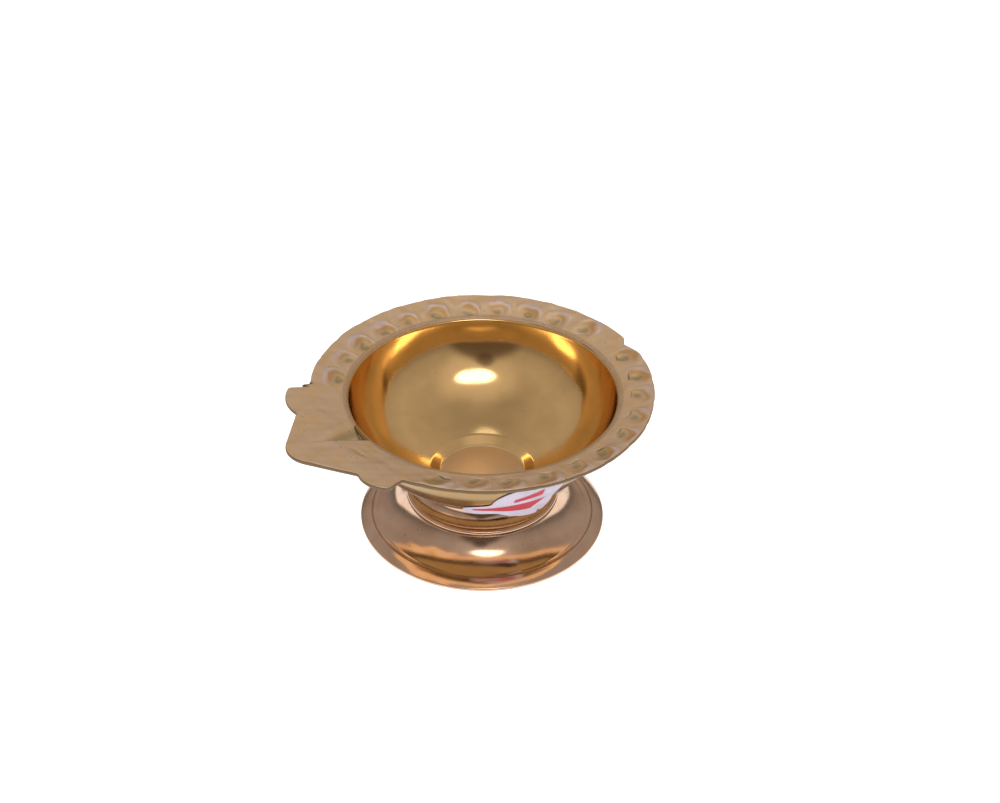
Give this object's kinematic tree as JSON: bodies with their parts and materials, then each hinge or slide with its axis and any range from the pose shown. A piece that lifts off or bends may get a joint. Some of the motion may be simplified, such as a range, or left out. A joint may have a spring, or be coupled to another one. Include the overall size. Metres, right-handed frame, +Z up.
{
  "type": "diya oil lamp",
  "caption": "Small footed brass oil lamp: round spun cup, wide ornamented rim with a pointed wick spout, turned collar and flared hollow foot.",
  "frame": {"origin": "centre of the foot, on the plane it stands on", "axes": "+Z up along the cup's turning axis; the wick spout points along -Y"},
  "size_m": [0.0612, 0.0699, 0.0296],
  "materials": {
    "polished_brass": "turned and polished",
    "cast_brass": "as cast, lightly brushed, dull",
    "braze": "brazing filler, matt",
    "paper": "coated white paper with plain red stripes"
  },
  "bodies": {
    "root": {"foot": "polished_brass", "collar": "polished_brass", "oil_cup": "polished_brass", "rim_flange": "cast_brass", "rim_braze": "braze", "cup_braze": "braze", "foot_braze": "braze", "paper_label": "paper"}
  },
  "joints": []
}
